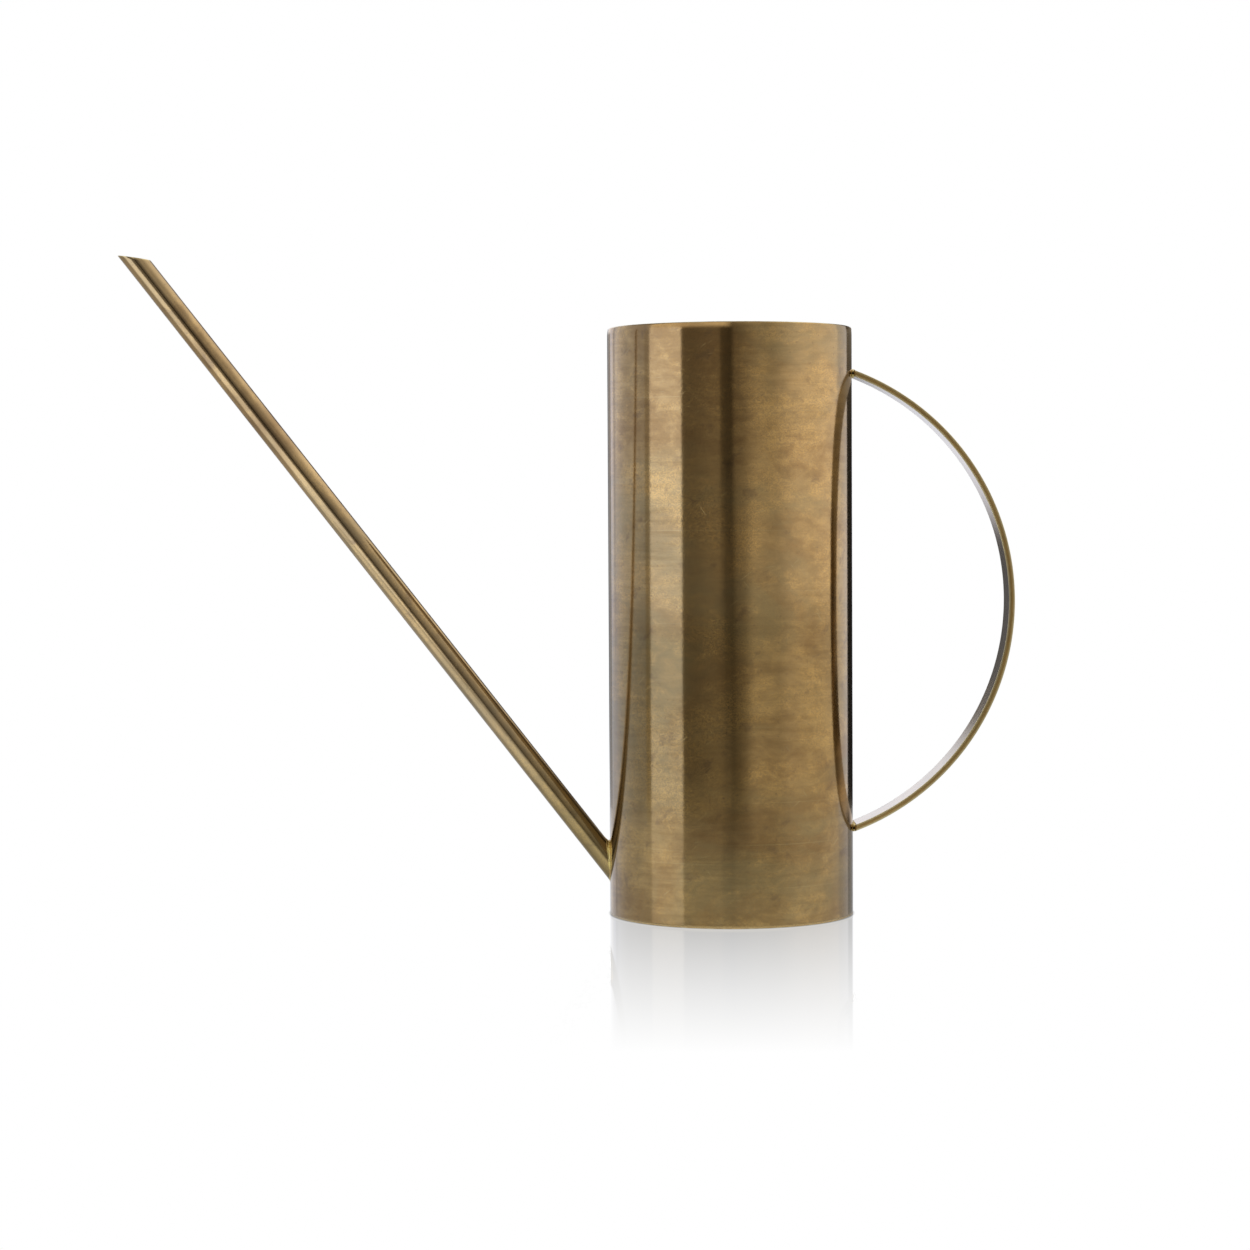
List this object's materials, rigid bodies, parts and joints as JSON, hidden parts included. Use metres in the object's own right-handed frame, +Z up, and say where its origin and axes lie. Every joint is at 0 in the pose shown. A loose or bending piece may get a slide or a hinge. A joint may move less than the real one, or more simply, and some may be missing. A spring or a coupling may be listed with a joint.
{
  "type": "watering can",
  "caption": "Cylindrical indoor watering can in aged brass, with a long straight slender spout, a bowed flat strap handle and brazed joints.",
  "frame": {"origin": "centre of the base's underside, on the surface that the can stands on", "axes": "+Z up the can's axis, -X towards the spout, +X towards the handle, Y across the handle strap"},
  "size_m": [0.3657, 0.1, 0.271],
  "materials": {
    "can_brass": "aged sheet brass, fine horizontal brushing, cloudy brown patina, satin gloss",
    "spout_brass": "aged brass tube, fine lengthwise brushing, satin gloss",
    "strap_brass": "aged brass strip, satin, brighter along its worn edges",
    "braze": "bright yellow brazing metal, slightly uneven"
  },
  "bodies": {
    "root": {"body_shell": "can_brass", "base_disc": "can_brass", "spout_tube": "spout_brass", "handle_strap": "strap_brass", "seam_braze": "braze", "base_braze": "braze", "spout_braze": "braze", "handle_top_braze": "braze", "handle_bottom_braze": "braze"}
  },
  "joints": []
}
